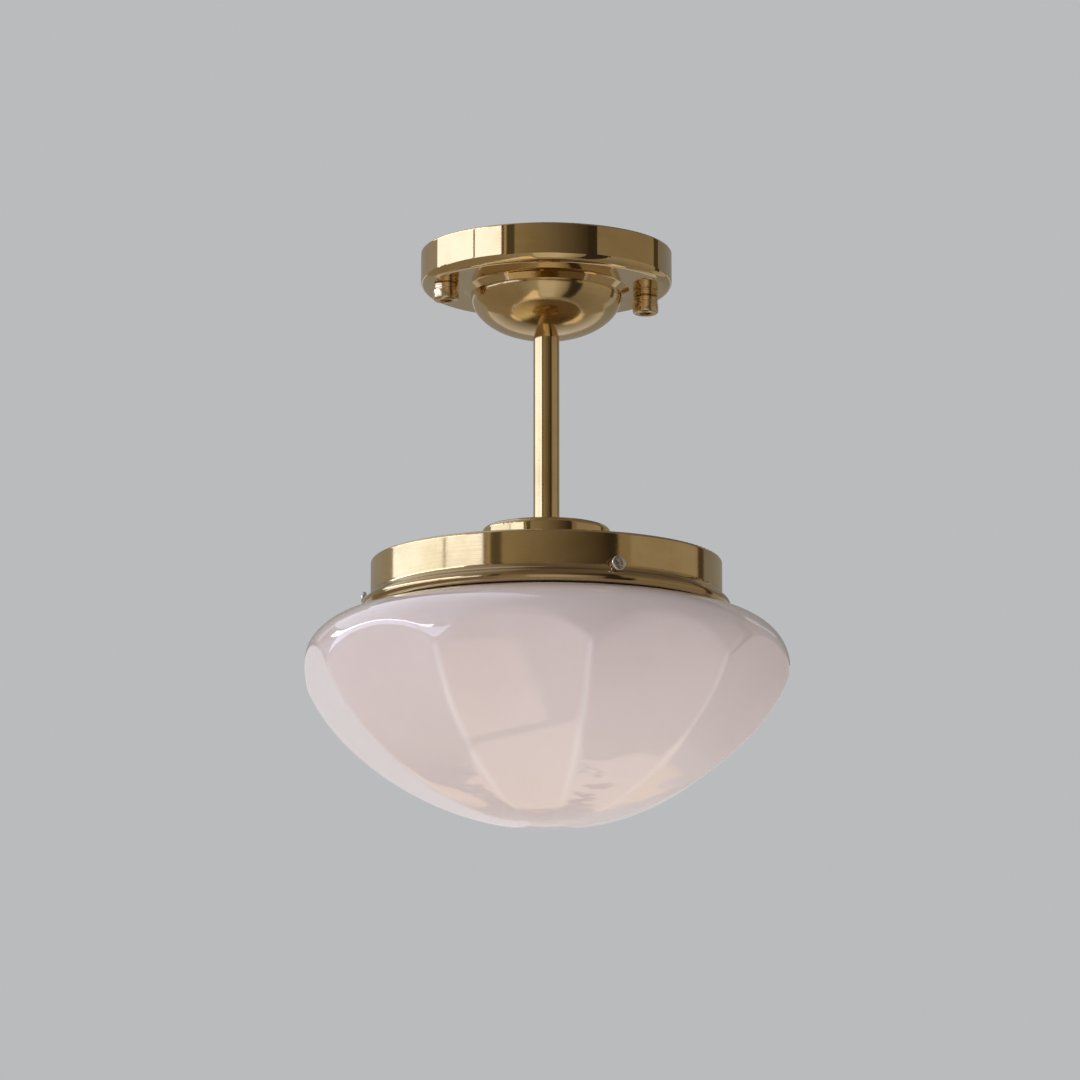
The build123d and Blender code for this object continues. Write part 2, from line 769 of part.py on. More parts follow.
insert_pocket_radius = insert_radius + hole_clearance
shell_pocket_radius = shell_radius + hole_clearance
with BuildPart() as lampholder_skirt:
    with BuildSketch(Plane.XZ):
        with BuildLine():
            Polyline(
                (insert_pocket_radius, holder_joint_z),
                (holder_radius, holder_joint_z),
                (holder_radius, skirt_bottom_z),
                (shell_pocket_radius, skirt_bottom_z),
                (shell_pocket_radius, insert_bottom_z),
                (insert_pocket_radius, insert_bottom_z),
                close=True,
            )
        make_face()
    revolve(axis=Axis.Z)
finish(lampholder_skirt, "lampholder_skirt")

terminal_screw_z = insert_top_z - terminal_bore_depth / 2
terminal_bore_radius = lead_radius + hole_clearance
with BuildPart() as lampholder_insert:
    with BuildSketch(Plane.XY.offset(insert_bottom_z)):
        Circle(insert_radius)
    extrude(amount=insert_thickness)
    with BuildSketch(Plane.XY.offset(insert_top_z)):
        with GridLocations(2 * terminal_offset, 0, 2, 1):
            Circle(terminal_bore_radius)
    extrude(amount=-terminal_bore_depth, mode=Mode.SUBTRACT)
    for angle in terminal_angles:
        with BuildSketch(radial_plane(angle, terminal_offset, terminal_screw_z)):
            Circle(holder_screw_radius + thread_clearance)
        extrude(amount=insert_radius, mode=Mode.SUBTRACT)
finish(lampholder_insert, "lampholder_insert")

with BuildPart() as lampholder_screws:
    screw_start = terminal_offset + lead_radius + thread_clearance
    for angle in terminal_angles:
        with BuildSketch(radial_plane(angle, screw_start, terminal_screw_z)):
            Circle(holder_screw_radius)
        extrude(amount=insert_radius - holder_screw_inset - screw_start)
finish(lampholder_screws, "lampholder_screws")

lampholder_shell = ring(insert_bottom_z - shell_length, shell_length, shell_radius, shell_radius - shell_wall)
finish(lampholder_shell, "lampholder_shell")

with BuildPart() as centre_contact:
    with BuildSketch(Plane.XY.offset(insert_bottom_z - contact_thickness)):
        Rectangle(contact_length, contact_width)
    extrude(amount=contact_thickness)
    with BuildSketch(Plane.XY.offset(contact_z)):
        Circle(contact_button_radius)
    extrude(amount=contact_button_height)
finish(centre_contact, "centre_contact")

# Bulb: end contact, insulator, screw cap, body and globe
with BuildPart() as bulb_contact:
    with BuildSketch(Plane.XY.offset(bulb_tip_z - bulb_tip_height)):
        Circle(bulb_tip_radius)
    extrude(amount=bulb_tip_height)
finish(bulb_contact, "bulb_contact")

with BuildPart() as bulb_insulator:
    with BuildSketch(Plane.XY.offset(bulb_thread_z)):
        Circle(bulb_thread_radius)
    with BuildSketch(Plane.XY.offset(bulb_thread_z + bulb_insulator_height)):
        Circle(bulb_tip_radius)
    loft()
finish(bulb_insulator, "bulb_insulator")

bulb_bore_radius = bulb_thread_radius - bulb_thread_wall
bulb_cap = ring(bulb_body_z, bulb_thread_length, bulb_thread_radius, bulb_bore_radius)
finish(bulb_cap, "bulb_cap")

spigot_radius = bulb_bore_radius - bulb_spigot_gap
with BuildPart() as bulb_body:
    with BuildSketch(Plane.XZ):
        with BuildLine():
            Polyline(
                (0, bulb_body_z + bulb_spigot_length),
                (spigot_radius, bulb_body_z + bulb_spigot_length),
                (spigot_radius, bulb_body_z),
                (bulb_body_base_radius, bulb_body_z),
                (bulb_body_rim_radius, bulb_rim_z),
                (0, bulb_rim_z),
                close=True,
            )
        make_face()
    revolve(axis=Axis.Z)
finish(bulb_body, "bulb_body")

with BuildPart() as bulb_globe:
    with BuildSketch(Plane.XZ):
        with Locations((0, bulb_globe_z)):
            Circle(bulb_globe_radius)
            Circle(bulb_globe_radius - bulb_globe_wall, mode=Mode.SUBTRACT)
        with Locations((0, bulb_rim_z)):
            globe_corner = (Align.MIN, Align.MAX)
            Rectangle(bulb_globe_radius, 2 * bulb_globe_radius, align=globe_corner, mode=Mode.INTERSECT)
    revolve(axis=Axis.Z)
finish(bulb_globe, "bulb_globe")
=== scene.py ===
from math import atan2, cos, pi, radians, sin, sqrt, tan

import bmesh
import bpy
import numpy as np
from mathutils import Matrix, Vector


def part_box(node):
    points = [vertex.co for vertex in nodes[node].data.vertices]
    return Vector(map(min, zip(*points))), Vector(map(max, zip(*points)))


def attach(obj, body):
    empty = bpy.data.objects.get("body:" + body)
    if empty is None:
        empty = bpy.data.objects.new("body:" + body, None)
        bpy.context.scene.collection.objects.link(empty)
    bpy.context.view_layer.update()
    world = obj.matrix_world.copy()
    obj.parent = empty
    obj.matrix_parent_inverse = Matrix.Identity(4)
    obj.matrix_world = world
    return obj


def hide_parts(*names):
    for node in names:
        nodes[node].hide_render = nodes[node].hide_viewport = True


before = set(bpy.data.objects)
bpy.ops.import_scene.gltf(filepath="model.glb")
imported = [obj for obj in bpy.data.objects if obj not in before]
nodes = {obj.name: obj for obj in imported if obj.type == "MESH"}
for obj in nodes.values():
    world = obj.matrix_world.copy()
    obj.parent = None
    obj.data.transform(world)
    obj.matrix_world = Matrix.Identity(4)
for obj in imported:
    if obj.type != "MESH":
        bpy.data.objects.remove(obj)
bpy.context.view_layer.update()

scene = bpy.context.scene
mm = 0.001

# Angles round the lamp start at -Y and grow towards +X. The photograph is taken from this one.
camera_angle = -15.5


def outward(angle):
    """Unit vector away from the lamp's axis at an angle round the lamp."""
    return Vector((sin(radians(angle)), -cos(radians(angle)), 0))


def span(node):
    """Lowest and highest height of a node, in millimetres."""
    low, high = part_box(node)
    return low.z / mm, high.z / mm


lip_z = span("fitter")[0]


# finishes


class Wire:
    """A value in a finish. Sums on wires add the nodes that work them out."""

    def __init__(self, finish, socket):
        self.finish = finish
        self.socket = socket

    def __add__(self, other):
        return self.finish.sum("ADD", self, other)

    def __radd__(self, other):
        return self.finish.sum("ADD", other, self)

    def __sub__(self, other):
        return self.finish.sum("SUBTRACT", self, other)

    def __rsub__(self, other):
        return self.finish.sum("SUBTRACT", other, self)

    def __mul__(self, other):
        return self.finish.sum("MULTIPLY", self, other)

    def __rmul__(self, other):
        return self.finish.sum("MULTIPLY", other, self)

    def __truediv__(self, other):
        return self.finish.sum("DIVIDE", self, other)

    def __rtruediv__(self, other):
        return self.finish.sum("DIVIDE", other, self)

    def __pow__(self, other):
        return self.finish.sum("POWER", self, other)

    def __rpow__(self, other):
        return self.finish.sum("POWER", other, self)


class Finish:
    """A material, or the world, written as sums on wires."""

    def __init__(self, name, owner=None, **fixed):
        self.owner = owner or bpy.data.materials.new(name)
        self.owner.use_nodes = True
        self.tree = self.owner.node_tree
        self.shader = self.tree.nodes.get("Principled BSDF")
        for socket, value in fixed.items():
            self.shader.inputs[socket.replace("_", " ")].default_value = value

    def node(self, kind, settings=None, inputs=None, output=0):
        """Any node: its settings first, then the values or links of its sockets."""
        made = self.tree.nodes.new("ShaderNode" + kind)
        for key, value in (settings or {}).items():
            setattr(made, key, value)
        for key, value in (inputs or {}).items():
            self.feed(made.inputs[key], value)
        return Wire(self, made.outputs[output])

    def feed(self, socket, value):
        """Link a wire to a socket, or set the socket's own value."""
        if isinstance(value, Wire):
            self.tree.links.new(value.socket, socket)
        else:
            socket.default_value = value

    def sum(self, operation, first, second):
        """One step of a sum on wires and numbers."""
        return self.node("Math", {"operation": operation}, {0: first, 1: second})

    def place(self):
        """The x, y and z of a point of the piece, in metres, in the lamp's frame."""
        point = self.node("TexCoord", output=3)
        return [self.node("SeparateXYZ", None, {0: point}, output=k) for k in range(3)]

    def vector(self, x, y, z):
        return self.node("CombineXYZ", None, {0: x, 1: y, 2: z})

    def noise(self, x, y, z, detail, rough):
        """Cloudy noise, with about one cloud to a unit of x, y and z."""
        inputs = {"Vector": self.vector(x, y, z), "Scale": 1.0, "Detail": detail, "Roughness": rough}
        return self.node("TexNoise", {"noise_dimensions": "3D"}, inputs)

    def spread(self, value, low, high, to_low=0.0, to_high=1.0):
        """A value between two limits, brought to two others."""
        inputs = {0: value, 1: low, 2: high, 3: to_low, 4: to_high}
        return self.node("MapRange", {"clamp": True, "interpolation_type": "SMOOTHSTEP"}, inputs)

    def mix(self, share, first, second):
        """One colour turning into another."""
        return self.node("Mix", {"data_type": "RGBA"}, {0: share, 6: first, 7: second}, output=2)

    def bump(self, height, strength, distance):
        """Let a wire raise the surface."""
        inputs = {"Strength": strength, "Distance": distance, "Height": height}
        self.feed(self.shader.inputs["Normal"], self.node("Bump", None, inputs))

    def paint(self, **inputs):
        """Feed the usual shader."""
        for socket, value in inputs.items():
            self.feed(self.shader.inputs[socket.replace("_", " ")], value)
        return self.owner

    def show(self, light):
        """Use another shader in place of the usual one."""
        self.tree.nodes.remove(self.shader)
        self.feed(self.tree.nodes["Material Output"].inputs[0], light)
        return self.owner


def rgb(red, green, blue):
    return (red, green, blue, 1.0)


def brass(name, bright, deep, roughness, lines, strength, anisotropy=0.0, along_stem=False, painted_shade=None):
    """Brass with fine tool lines round the axis, or along the stem, and a thin uneven tarnish.

    Lines are counted to a metre. Where heights for painted shade are given, shade is painted into the colour:
    the brass darkens from the first height down to the second, and stays dark below."""
    finish = Finish(name, Metallic=1.0, Anisotropic=anisotropy, Anisotropic_Rotation=0.25)
    x, y, z = finish.place()
    if along_stem:
        grain = (x * lines, y * lines, z * 12.0)
    else:
        reach = (x * x + y * y) ** 0.5
        grain = (x * 22.0, y * 22.0, (reach + z) * lines)
    scratches = finish.noise(*grain, detail=4.0, rough=0.7)
    cloud = finish.noise(x * 38.0, y * 38.0, z * 38.0, detail=5.0, rough=0.6)
    tarnish = finish.spread(cloud * 0.75 + scratches * 0.25, 0.42, 0.66)
    colour = finish.mix(tarnish, rgb(*bright), rgb(*deep))
    # Painted shade: from the first height down, the colour is darkened towards a shade brown.
    if painted_shade:
        colour = finish.mix(finish.spread(z, *painted_shade) * 0.65, colour, rgb(0.40, 0.29, 0.16))
    rough = finish.spread(scratches * 0.6 + cloud * 0.4, 0.35, 0.68, *roughness)
    finish.bump(scratches, strength, 0.03 * mm)
    return finish.paint(Base_Color=colour, Roughness=rough)


# Painted shade on the fitter's flare and bead, just above the glass: where it starts and where it is full.
painted_shade_top_z = (lip_z + 10.38) * mm
painted_shade_bottom_z = (lip_z + 5.88) * mm
polished = brass("polished_brass", (0.74, 0.585, 0.335), (0.66, 0.505, 0.265), (0.035, 0.075),
                 lines=2600.0, strength=0.05)
brushed = brass("brushed_brass", (0.74, 0.585, 0.325), (0.64, 0.49, 0.255), (0.08, 0.16),
                lines=3400.0, strength=0.20, anisotropy=0.5, painted_shade=(painted_shade_top_z, painted_shade_bottom_z))
drawn = brass("drawn_brass", (0.74, 0.585, 0.325), (0.65, 0.50, 0.265), (0.06, 0.12),
              lines=3000.0, strength=0.06, along_stem=True)
turned = brass("turned_brass", (0.78, 0.64, 0.43), (0.67, 0.53, 0.32), (0.19, 0.28),
               lines=1500.0, strength=0.03)
spun = brass("spun_brass", (0.74, 0.585, 0.335), (0.66, 0.505, 0.265), (0.10, 0.17),
             lines=2200.0, strength=0.10)


def steel(name, bright, deep, roughness, grains):
    """Plated steel: cloudy zinc or bright nickel, with small scuffs. Grains are counted to a metre."""
    finish = Finish(name, Metallic=1.0)
    x, y, z = finish.place()
    cloud = finish.noise(x * grains, y * grains, z * grains, detail=5.0, rough=0.6)
    scuff = finish.noise(x * 900.0, y * 900.0, z * 2500.0, detail=3.0, rough=0.6)
    colour = finish.mix(finish.spread(cloud, 0.35, 0.68), rgb(*bright), rgb(*deep))
    rough = finish.spread(scuff * 0.5 + cloud * 0.5, 0.35, 0.66, *roughness)
    finish.bump(scuff, 0.06, 0.03 * mm)
    return finish.paint(Base_Color=colour, Roughness=rough)


bright_steel = steel("bright_steel", (0.86, 0.85, 0.83), (0.70, 0.69, 0.67), (0.18, 0.28), grains=700.0)
zinc = steel("zinc_steel", (0.63, 0.64, 0.65), (0.46, 0.48, 0.50), (0.26, 0.44), grains=160.0)
nickel = steel("nickel_cap", (0.72, 0.70, 0.66), (0.58, 0.56, 0.52), (0.16, 0.30), grains=260.0)


def moulded(name, base, deep, roughness, grains=1680.0, coat=0.0):
    """Moulded plastic, rubber or ceramic: a slight mottle and a fine skin. Grains are counted to a metre."""
    finish = Finish(name, Coat_Weight=coat, Coat_Roughness=0.12)
    x, y, z = finish.place()
    mottle = finish.noise(x * 90.0, y * 90.0, z * 90.0, detail=4.0, rough=0.6)
    skin = finish.noise(x * grains, y * grains, z * grains, detail=2.0, rough=0.5)
    colour = finish.mix(finish.spread(mottle, 0.34, 0.68), rgb(*base), rgb(*deep))
    rough = finish.spread(skin * 0.6 + mottle * 0.4, 0.34, 0.68, *roughness)
    finish.bump(skin, 0.08, 0.04 * mm)
    return finish.paint(Base_Color=colour, Roughness=rough)


black_plastic = moulded("black_plastic", (0.022, 0.021, 0.020), (0.036, 0.034, 0.032), (0.32, 0.48))
insert_ceramic = moulded("insert_ceramic", (0.76, 0.74, 0.69), (0.68, 0.66, 0.60), (0.5, 0.7), grains=1200.0)
white_nylon = moulded("white_nylon", (0.80, 0.80, 0.76), (0.73, 0.73, 0.69), (0.36, 0.5))
clear_silicone = moulded("clear_silicone", (0.72, 0.73, 0.72), (0.62, 0.63, 0.62), (0.4, 0.55))
bulb_plastic = moulded("bulb_plastic", (0.84, 0.84, 0.82), (0.79, 0.79, 0.77), (0.30, 0.42), coat=0.2)
bulb_diffuser = moulded("bulb_diffuser", (0.88, 0.87, 0.83), (0.84, 0.83, 0.78), (0.42, 0.55), grains=1040.0)
brown_insulation = moulded("brown_insulation", (0.20, 0.085, 0.03), (0.15, 0.06, 0.022), (0.4, 0.55))
blue_insulation = moulded("blue_insulation", (0.03, 0.13, 0.42), (0.022, 0.09, 0.32), (0.4, 0.55))


def earth_stripes():
    """Green insulation with a yellow stripe that winds round the lead."""
    finish = Finish("earth_insulation")
    x, y, z = finish.place()
    bands = {"Vector": finish.vector(x * 55.0, y * 12.0, z * 55.0), "Scale": 1.0, "Distortion": 0.4}
    wave = finish.node("TexWave", {"wave_type": "BANDS", "bands_direction": "DIAGONAL"}, bands)
    skin = finish.noise(x * 1500.0, y * 1500.0, z * 1500.0, detail=2.0, rough=0.5)
    colour = finish.mix(finish.spread(wave, 0.44, 0.56), rgb(0.05, 0.27, 0.05), rgb(0.66, 0.53, 0.03))
    finish.bump(skin, 0.06, 0.04 * mm)
    return finish.paint(Base_Color=colour, Roughness=finish.spread(skin, 0.3, 0.7, 0.4, 0.55))


earth_insulation = earth_stripes()


def opal_glass():
    """Blush-pink opal glass, fired glossy: paler along the ridges and round the arches, partly paler glass
    and partly a painted highlight; warmer low down, faintly wavy.
    """
    finish = Finish("opal_glass", Subsurface_Weight=0.18, Subsurface_Radius=(1.0, 0.7, 0.6),
                    Subsurface_Scale=6.0 * mm, IOR=1.6, Coat_Weight=1.0, Coat_Roughness=0.012)
    warm_top_z, warm_bottom_z = -196.0 * mm, -272.0 * mm
    x, y, z = finish.place()
    ridge = finish.node("Attribute", {"attribute_name": "ridge"}, output=2)
    cloud = finish.noise(x * 9.0, y * 9.0, z * 14.0, detail=4.0, rough=0.55)
    seed = finish.noise(x * 240.0, y * 240.0, z * 240.0, detail=2.0, rough=0.5)
    low = finish.spread(z, warm_top_z, warm_bottom_z)
    blush = finish.mix(finish.spread(cloud, 0.36, 0.66), rgb(0.745, 0.64, 0.64), rgb(0.71, 0.595, 0.59))
    warm = finish.mix(low * 0.5, blush, rgb(0.78, 0.67, 0.64))
    # Paler along the ridges and round the arches: partly paler glass, partly a painted highlight.
    colour = finish.mix(ridge**1.4 * 0.5, warm, rgb(0.89, 0.85, 0.85))
    wavy = finish.noise(x * 26.0, y * 26.0, z * 26.0, detail=2.0, rough=0.45)
    rough = finish.spread(cloud * 0.7 + seed * 0.3, 0.35, 0.68, 0.014, 0.036)
    finish.bump(wavy + seed * 0.02, 0.12, 0.6 * mm)
    return finish.paint(Base_Color=colour, Roughness=rough)


opal = opal_glass()


def wear(finish, *names):
    """Give carried-over pieces their finish."""
    for name in names:
        piece = nodes[name]
        piece.data.materials.clear()
        piece.data.materials.append(finish)


wear(polished, "canopy")
wear(spun, "canopy_dome")
wear(drawn, "stem_tube")
wear(brushed, "fitter")
wear(turned, "screw_bushes", "terminal_clamps", "centre_contact")
wear(clear_silicone, "screw_tip_1", "screw_tip_2", "screw_tip_3")
wear(zinc, "mounting_bracket", "earth_screw", "earth_lugs", "clamp_screws", "block_screw", "top_washer",
     "bottom_washer", "lampholder_screws")
wear(black_plastic, "lampholder_cap", "bulb_insulator")
wear(insert_ceramic, "lampholder_insert")
wear(white_nylon, "terminal_block")
wear(brown_insulation, "live_lead")
wear(blue_insulation, "neutral_lead")
wear(earth_insulation, "earth_lead")
wear(nickel, "bulb_contact")
wear(bulb_plastic, "bulb_body")
wear(bulb_diffuser, "bulb_globe")


# rows of points, and the pieces made of them


def circle(count):
    """Angles spaced evenly round a circle."""
    return np.linspace(0, 2 * pi, count, endpoint=False)


def ring(reach, z, angles, centre=(0, 0)):
    """A row of points round a centre at one height, at one reach or one for each angle."""
    return np.stack([centre[0] + reach * np.cos(angles), centre[1] + reach * np.sin(angles),
                     np.full(len(angles), z)], axis=1)


def faces_between(rows, columns, start=0, close_rows=False, close_columns=True):
    """Faces between rows of points. Where rows or columns are closed, the last is joined to the first."""
    faces = []
    for row in range(rows if close_rows else rows - 1):
        here, there = start + row * columns, start + (row + 1) % rows * columns
        for column in range(columns if close_columns else columns - 1):
            after = (column + 1) % columns
            faces.append((here + column, here + after, there + after, there + column))
    return faces


def new_piece(name, points, faces, finish):
    """An object with a mesh of these points and faces."""
    mesh = bpy.data.meshes.new(name)
    mesh.from_pydata(points, [], faces)
    mesh.materials.append(finish)
    piece = bpy.data.objects.new(name, mesh)
    scene.collection.objects.link(piece)
    return piece


def keep_values(piece, name, values):
    """Keep a number with each point of a piece, for its finish to read."""
    piece.data.attributes.new(name, "FLOAT", "POINT").data.foreach_set("value", values)


# glass shade, in millimetres

panel_count = 10
first_ridge_angle = -5.5
glass_wall = 3.0
neck_radius = 74.0
neck_top_z = span("glass_shade")[1]
shoulder_gap = 0.3
shoulder_top_z = lip_z - shoulder_gap
neck_root_radius = 2.5
shade_radius = 115.1
shoulder_depth = 29.3
shoulder_fullness = 2.38
panel_radius = 113.0
panel_top_z = shoulder_top_z - 17.6
panel_depth = 86.5
panel_fullness = 1.72
bottom_curve_radius = 140.0
bottom_lift = 1.6
widest_z = shoulder_top_z - shoulder_depth
ridge_softness = 1.4
ridge_full_reach = 90.0
ridge_least_share = 0.3
arch_softness = 1.3
bottom_softness = 3.0
# Paleness painted along the ridges and round the arches, partly a painted highlight: where it fades in, how
# it fades near the bottom, and the arches' share.
ridge_fade_start = 12.0
ridge_fade_run = 20.0
bottom_fade = 0.6
arch_share = 0.25

# how its mesh is laid out
bowl_centre_z = -214.0
ray_length = 170.0
ray_halvings = 40
pole_gap = 0.004
fine_steps = 3000
panel_columns = 36
ridge_crowding = 0.748
outer_rows = 190
inner_rows = 54
root_rows = 8
neck_rows = 4
rim_rows = 11
arch_z = -197.0
arch_spread = 9.0
arch_crowding = 1.6


def rounded_level(x, y, width, height, fullness):
    """About how far a point lies outside a quarter of a superellipse."""
    u = np.maximum(x, 1e-6) / width
    v = np.maximum(y, 1e-6) / height
    level = (u**fullness + v**fullness) ** (1 / fullness)
    slope_u = (u / level) ** (fullness - 1) / width
    slope_v = (v / level) ** (fullness - 1) / height
    return (level - 1) / np.sqrt(slope_u**2 + slope_v**2)


def soft_most(first, second, softness):
    """The larger of two levels, with the crease between them rounded. Also says how near the crease is."""
    near = np.maximum(softness - np.abs(first - second), 0) / softness
    return np.maximum(first, second) + near**2 * softness / 4, near


def panels_level(reach, angle, z, inset, soften):
    """How far points lie outside the flat panels, and how near they are to a ridge between two."""
    step = 2 * pi / panel_count
    turn = (angle - radians(first_ridge_angle)) % step
    levels = []
    for centre in (step / 2, -step / 2, 3 * step / 2):
        across = reach * np.cos(turn - centre)
        below = rounded_level(across, panel_top_z - z, panel_radius - inset, panel_depth - inset,
                              panel_fullness)
        levels.append(np.where(z < panel_top_z, below, across - (panel_radius - inset)))
    crease = ridge_softness * soften * np.clip(reach / ridge_full_reach, ridge_least_share, 1)
    panels, near_left = soft_most(levels[0], levels[1], crease)
    panels, near_right = soft_most(panels, levels[2], crease)
    return panels, np.maximum(near_left, near_right)


def shade_level(reach, angle, z, inset, soften):
    """How far points lie outside the shade's form, drawn in by an inset, and how pale they are painted along
    the ridges and arches, partly as a painted highlight.
    """
    panels, near_ridge = panels_level(reach, angle, z, inset, soften)
    shoulder = rounded_level(reach - (neck_radius - inset), z - widest_z, shade_radius - neck_radius,
                             shoulder_depth - inset, shoulder_fullness)
    shoulder = np.where(reach < neck_radius - inset, z - (shoulder_top_z - inset), shoulder)
    belly = np.where(z > widest_z, shoulder, reach - (shade_radius - inset))
    ball_z = panel_top_z - panel_depth + bottom_lift + bottom_curve_radius
    bottom = np.sqrt(reach**2 + (z - ball_z) ** 2) - (bottom_curve_radius - inset)
    form, near_arch = soft_most(panels, belly, arch_softness * soften)
    well_inside = -50.0
    form, near_bottom = soft_most(form, np.where(z < widest_z, bottom, well_inside), bottom_softness * soften)
    fade = np.clip((reach - ridge_fade_start) / ridge_fade_run, 0, 1) * (1 - bottom_fade * near_bottom)
    on_panels = np.clip((panels - belly) / 1.2 + 0.7, 0, 1)
    return form, np.maximum(near_ridge * on_panels, near_arch * arch_share) * fade


def bowl_rows(inset, angles, tilts, soften):
    """Rows of points on the shade's form, from the bottom up, found along rays from inside the bowl."""
    angle, tilt = np.meshgrid(angles, tilts)
    near = np.zeros_like(angle)
    far = np.full_like(angle, ray_length)
    for _ in range(ray_halvings):
        middle = (near + far) / 2
        z = bowl_centre_z + middle * np.sin(tilt)
        level, _ridge = shade_level(middle * np.cos(tilt), angle, z, inset, soften)
        near = np.where(level < 0, middle, near)
        far = np.where(level < 0, far, middle)
    reach = near * np.cos(tilt)
    z = bowl_centre_z + near * np.sin(tilt)
    return reach, z, shade_level(reach, angle, z, inset, soften)[1]


def even_tilts(inset, count, top_reach, top_z):
    """Tilts of rays that step evenly along the middle of a panel, closer together round its arch."""
    last = atan2(top_z - bowl_centre_z, top_reach)
    fine = np.linspace(pole_gap - pi / 2, last, fine_steps)
    middle = np.array([radians(first_ridge_angle) + pi / panel_count])
    reach, z, _ridge = bowl_rows(inset, middle, fine, 1.0)
    steps = np.hypot(np.diff(reach[:, 0]), np.diff(z[:, 0]))
    heights = (z[1:, 0] + z[:-1, 0]) / 2
    weight = 1 + arch_crowding * np.exp(-(((heights - arch_z) / arch_spread) ** 2))
    run = np.concatenate([[0], np.cumsum(steps * weight)])
    return np.interp(np.linspace(0, run[-1], count), run, fine)


def shade_rows(angles):
    """Rows of the shade up its outside, over the rim of the neck and down its inside, and the paleness
    painted along their ridges and arches, partly as a painted highlight.
    """
    rows, ridges = [], []

    def add(reach, z, ridge=None):
        for row in range(len(z)):
            reaches, heights = (np.broadcast_to(values[row], angles.shape) for values in (reach, z))
            rows.append(np.stack([reaches * np.sin(angles), -reaches * np.cos(angles), heights], axis=1))
            ridges.append(np.zeros(angles.shape) if ridge is None else ridge[row])

    root_reach, root_z = neck_radius + neck_root_radius, shoulder_top_z + neck_root_radius
    outer_tilts = even_tilts(0.0, outer_rows, root_reach, shoulder_top_z)
    add(*bowl_rows(0.0, angles, outer_tilts, 1.0))
    bend = np.linspace(0.12, 1, root_rows) * pi / 2
    add(root_reach - neck_root_radius * np.sin(bend), root_z - neck_root_radius * np.cos(bend))
    rim = glass_wall / 2
    rim_z = neck_top_z - rim
    add(np.full(neck_rows, neck_radius), np.linspace(root_z + 1.5, rim_z - 1, neck_rows))
    turn = np.linspace(0, pi, rim_rows)
    add(neck_radius - rim + rim * np.cos(turn), rim_z + rim * np.sin(turn))
    inner_reach, inner_top = neck_radius - glass_wall, shoulder_top_z - glass_wall
    add(np.full(neck_rows, inner_reach), np.linspace(rim_z - 1, inner_top + 1.2, neck_rows))
    inner_tilts = even_tilts(glass_wall, inner_rows, inner_reach + 0.8, inner_top)
    reach, z, _ridge = bowl_rows(glass_wall, angles, inner_tilts, 2.0)
    add(reach[::-1], z[::-1])
    return rows, ridges


def glass_shade():
    """The blown shade as one closed skin, its columns closer together at the ridges."""
    share = np.linspace(0, 1, panel_columns, endpoint=False)
    share = share - ridge_crowding * np.sin(2 * pi * share) / (2 * pi)
    turns = np.concatenate([panel + share for panel in range(panel_count)])
    rows, ridges = shade_rows(turns * 2 * pi / panel_count + radians(first_ridge_angle))
    columns = len(turns)
    poles = np.array([[0, 0, row[:, 2].mean()] for row in (rows[0], rows[-1])])
    first_pole, last_row = len(rows) * columns, (len(rows) - 1) * columns
    faces = faces_between(len(rows), columns)
    for column in range(columns):
        after = (column + 1) % columns
        faces.append((first_pole, after, column))
        faces.append((first_pole + 1, last_row + column, last_row + after))
    piece = new_piece("shade", (np.concatenate(rows + [poles]) * mm).tolist(), faces, opal)
    piece.data.validate()
    # Keeps the paleness painted along the ridges and arches, partly a painted highlight, for the glass's
    # finish to read.
    keep_values(piece, "ridge", np.concatenate(ridges + [np.zeros(2)]).astype(np.float32))
    piece.data.shade_smooth()
    return piece


shade = glass_shade()
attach(shade, "shade")
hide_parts("glass_shade")


# threads, nuts and the lampholder, in millimetres

# M4 studs and side screws
screw_radius = 2.0
screw_pitch = 0.7
screw_depth = 0.36
stud_nut_across = 7.0

# threaded tubes at the ends of the stem
tube_radius = 5.0
tube_bore = 3.5
tube_pitch = 1.0
tube_depth = 0.55
tube_chamfer = 0.3
tube_nut_across = 14.0

# rolled threads of the bulb's cap and of the lampholder's shell
rolled_pitch = 3.62
cap_radius = 13.1
cap_depth = 0.48
cap_wall = 0.55
shell_radius = 14.3
shell_depth = 0.5
shell_wall = 0.45
shell_inner_depth = 0.45

thread_clearance = 0.05
closing_radius = 0.01
weld_distance = 0.0001
rows_per_turn = 8

# points round each kind of piece
stud_points = 24
tube_points = 48
cap_points = 72
nut_points = 96
screw_points = 160

# rows along a side screw's shank, round its head's edge and across its face
shank_rows = 128
round_rows = 8
face_rows = 40


def skin(name, parts, finish, body, node, slot, crease=40.0):
    """A piece in place of a plain node, skinned over the rows of its parts.

    Each row is closed, and each part's last row is joined to its first."""
    points, faces = [], []
    for part in parts:
        start = sum(len(row) for row in points)
        faces += faces_between(len(part), len(part[0]), start, close_rows=True)
        points += part
    piece = new_piece(name, (np.concatenate(points) * mm).tolist(), faces, finish)
    shell = bmesh.new()
    shell.from_mesh(piece.data)
    bmesh.ops.remove_doubles(shell, verts=shell.verts, dist=weld_distance * mm)
    bmesh.ops.recalc_face_normals(shell, faces=shell.faces)
    shell.to_mesh(piece.data)
    shell.free()
    piece.data.shade_smooth()
    piece.data.set_sharp_from_angle(angle=radians(crease))
    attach(piece, body)
    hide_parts(node)


def turned_rows(outline, around, centre=(0, 0)):
    """Rows of a turned piece from the radii and heights of its outline."""
    return [ring(radius, z, circle(around), centre) for radius, z in outline]


def thread_reach(place, low, high, angles, radius, depth, pitch, rounded=False):
    """Reach of a screw thread at a place along it, run out at both ends."""
    turn = (place / pitch - angles / (2 * pi)) % 1
    rolled = 0.5 - 0.5 * np.cos(2 * pi * turn)
    cut = np.clip(1.4 * np.abs(2 * turn - 1) - 0.2, 0, 1)
    full = min(1, (place - low) / pitch, (high - place) / pitch)
    return radius - depth * (1 - full + full * (rolled if rounded else cut))


